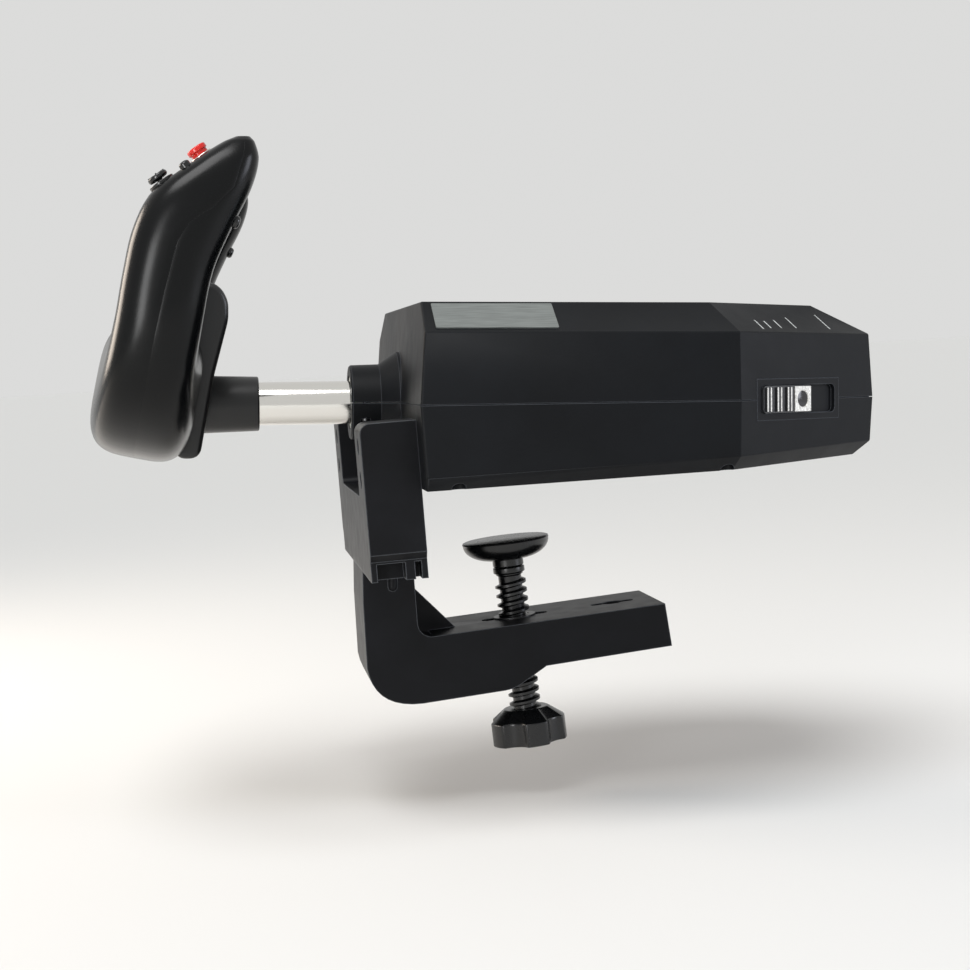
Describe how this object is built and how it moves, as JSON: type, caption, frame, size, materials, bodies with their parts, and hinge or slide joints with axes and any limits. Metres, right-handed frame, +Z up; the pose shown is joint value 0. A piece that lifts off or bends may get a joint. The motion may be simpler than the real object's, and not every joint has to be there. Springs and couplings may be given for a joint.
{
  "type": "desk-clamp flight yoke",
  "caption": "Flight simulator yoke with two horns on a chromed shaft that slides and turns in a wedge-shaped base with a screw clamp for a desk edge.",
  "frame": {"origin": "middle of the base's flat underside, where it rests on the desk", "axes": "+X away from the pilot along the base, +Y to the pilot's left, +Z up from the desk; the shaft rises 2.9 degrees towards the pilot"},
  "size_m": [0.3936, 0.263, 0.3098],
  "materials": {
    "casing_plastic": "textured black moulded ABS",
    "clamp_plastic": "black glass-filled nylon, fine matt texture",
    "clamp_screw_plastic": "black moulded nylon, satin",
    "yoke_plastic": "satin black moulded ABS with a soft shine",
    "sleeve_plastic": "satin black moulded plastic",
    "shaft_chrome": "polished chrome-plated steel tube",
    "acetal": "natural white acetal",
    "ring_steel": "turned steel",
    "spring_steel": "spring steel",
    "screw_steel": "black zinc-plated steel",
    "circuit_board": "green solder mask on glass laminate",
    "sensor_body": "moulded potentiometer case",
    "gland_rubber": "black rubber",
    "plate_metal": "grey brushed aluminium foil, bare",
    "slide_knob_plastic": "black plastic with grey ribs",
    "slide_plate_silver": "silver-painted plate",
    "button_red": "glossy red moulded plastic",
    "button_black": "glossy black moulded plastic",
    "bezel_grey": "dark grey moulded ring"
  },
  "bodies": {
    "base": {"upper_casing": "casing_plastic", "lower_casing": "casing_plastic", "casing_screws": "screw_steel", "collar_screws": "screw_steel", "shaft_bush": "acetal", "guide_rods": "ring_steel", "pitch_springs": "spring_steel", "main_circuit_board": "circuit_board", "pitch_sensor": "sensor_body", "cable_gland": "gland_rubber", "name_plate": "plate_metal", "slide_track": "casing_plastic", "clamp_bracket": "clamp_plastic", "bracket_screws": "screw_steel", "clamp_arm": "clamp_plastic", "arm_bolts": "screw_steel", "clamp_nut": "clamp_screw_plastic"},
    "carriage": {"carriage": "casing_plastic", "pitch_rack": "acetal", "roll_sensor": "sensor_body"},
    "yoke": {"yoke_front_shell": "yoke_plastic", "yoke_rear_shell": "yoke_plastic", "yoke_screws": "screw_steel", "hub_rear_housing": "yoke_plastic", "hub_cap": "yoke_plastic", "shaft_sleeve": "sleeve_plastic", "roll_gear": "acetal", "shaft_rings": "ring_steel", "shaft_tube": "shaft_chrome", "hub_pin": "ring_steel", "right_red_button_bezel": "bezel_grey", "right_hat_base": "button_black", "right_grip_board": "circuit_board", "left_red_button_bezel": "bezel_grey", "left_hat_base": "button_black", "left_grip_board": "circuit_board"},
    "roll_pinion": {"roll_pinion": "acetal"},
    "pitch_pinion": {"pitch_pinion": "acetal"},
    "slide_switch": {"slide_knob": "slide_knob_plastic", "slide_plate": "slide_plate_silver"},
    "clamp_pad": {"clamp_pad": "clamp_screw_plastic"},
    "clamp_screw": {"clamp_screw": "clamp_screw_plastic", "clamp_knob": "clamp_screw_plastic"},
    "right_red_button": {"right_red_button": "button_red"},
    "right_small_button": {"right_small_button": "button_black"},
    "right_trigger_button": {"right_trigger_button": "button_black"},
    "right_hat_gimbal": {"right_hat_gimbal": "button_black"},
    "right_hat_cap": {"right_hat_cap": "button_black"},
    "left_red_button": {"left_red_button": "button_red"},
    "left_small_button": {"left_small_button": "button_black"},
    "left_trigger_button": {"left_trigger_button": "button_black"},
    "left_hat_gimbal": {"left_hat_gimbal": "button_black"},
    "left_hat_cap": {"left_hat_cap": "button_black"}
  },
  "joints": [
    {"name": "pitch_slide", "type": "slide", "parent": "base", "child": "carriage", "axis": [0.9987, 0, -0.0506], "range_m": [-0.038, 0.038], "stiffness_N_per_m": 160, "deforming": ["pitch_springs"]},
    {"name": "roll_turn", "type": "hinge", "parent": "carriage", "child": "yoke", "pos_m": [-0.11462, 0, 0.04015], "axis": [0.9987, 0, -0.0506], "range_deg": [-50, 50], "stiffness_Nm_per_rad": 1.2},
    {"name": "roll_pinion_turn", "type": "hinge", "parent": "carriage", "child": "roll_pinion", "pos_m": [-0.11325, 0, 0.06716], "axis": [0.9987, 0, -0.0506], "range_deg": [-105, 105]},
    {"name": "pitch_pinion_turn", "type": "hinge", "parent": "base", "child": "pitch_pinion", "pos_m": [0.00323, -0.0613, 0.03418], "axis": [0.0506, 0, 0.9987], "range_deg": [-150, 150]},
    {"name": "slide_switch_slide", "type": "slide", "parent": "base", "child": "slide_switch", "axis": [0.8186, 0.5728, -0.0415], "range_m": [0, 0.019]},
    {"name": "clamp_feed", "type": "slide", "parent": "base", "child": "clamp_pad", "axis": [-0.0593, 0, 0.9982], "range_m": [-0.024, 0.015]},
    {"name": "clamp_screw_turn", "type": "hinge", "parent": "clamp_pad", "child": "clamp_screw", "pos_m": [-0.06009, 0, -0.07536], "axis": [-0.0593, 0, 0.9982], "range_deg": [-1825, 1142]},
    {"name": "right_red_press", "type": "slide", "parent": "yoke", "child": "right_red_button", "axis": [0.5388, 0, -0.8425], "range_m": [0, 0.0016], "stiffness_N_per_m": 250},
    {"name": "right_small_press", "type": "slide", "parent": "yoke", "child": "right_small_button", "axis": [0.5388, 0, -0.8425], "range_m": [0, 0.001], "stiffness_N_per_m": 250},
    {"name": "right_trigger_press", "type": "slide", "parent": "yoke", "child": "right_trigger_button", "axis": [-0.8926, 0, 0.4509], "range_m": [0, 0.0014], "stiffness_N_per_m": 250},
    {"name": "right_hat_fore_aft", "type": "hinge", "parent": "yoke", "child": "right_hat_gimbal", "pos_m": [-0.22171, -0.1148, 0.1442], "axis": [0, 1, 0], "range_deg": [-9, 9], "stiffness_Nm_per_rad": 0.02},
    {"name": "right_hat_sideways", "type": "hinge", "parent": "right_hat_gimbal", "child": "right_hat_cap", "pos_m": [-0.22171, -0.1148, 0.1442], "axis": [0.8425, 0, 0.5388], "range_deg": [-9, 9], "stiffness_Nm_per_rad": 0.02},
    {"name": "left_red_press", "type": "slide", "parent": "yoke", "child": "left_red_button", "axis": [0.5388, 0, -0.8425], "range_m": [0, 0.0016], "stiffness_N_per_m": 250},
    {"name": "left_small_press", "type": "slide", "parent": "yoke", "child": "left_small_button", "axis": [0.5388, 0, -0.8425], "range_m": [0, 0.001], "stiffness_N_per_m": 250},
    {"name": "left_trigger_press", "type": "slide", "parent": "yoke", "child": "left_trigger_button", "axis": [-0.8926, 0, 0.4509], "range_m": [0, 0.0014], "stiffness_N_per_m": 250},
    {"name": "left_hat_fore_aft", "type": "hinge", "parent": "yoke", "child": "left_hat_gimbal", "pos_m": [-0.22171, 0.1148, 0.1442], "axis": [0, 1, 0], "range_deg": [-9, 9], "stiffness_Nm_per_rad": 0.02},
    {"name": "left_hat_sideways", "type": "hinge", "parent": "left_hat_gimbal", "child": "left_hat_cap", "pos_m": [-0.22171, 0.1148, 0.1442], "axis": [0.8425, 0, 0.5388], "range_deg": [-9, 9], "stiffness_Nm_per_rad": 0.02}
  ],
  "couplings": [
    {"joint": "roll_pinion_turn", "follows": "roll_turn", "ratio": -2},
    {"joint": "pitch_pinion_turn", "follows": "pitch_slide", "rad_per_m": -66.667},
    {"joint": "clamp_screw_turn", "follows": "clamp_feed", "rad_per_m": 1322.8}
  ]
}
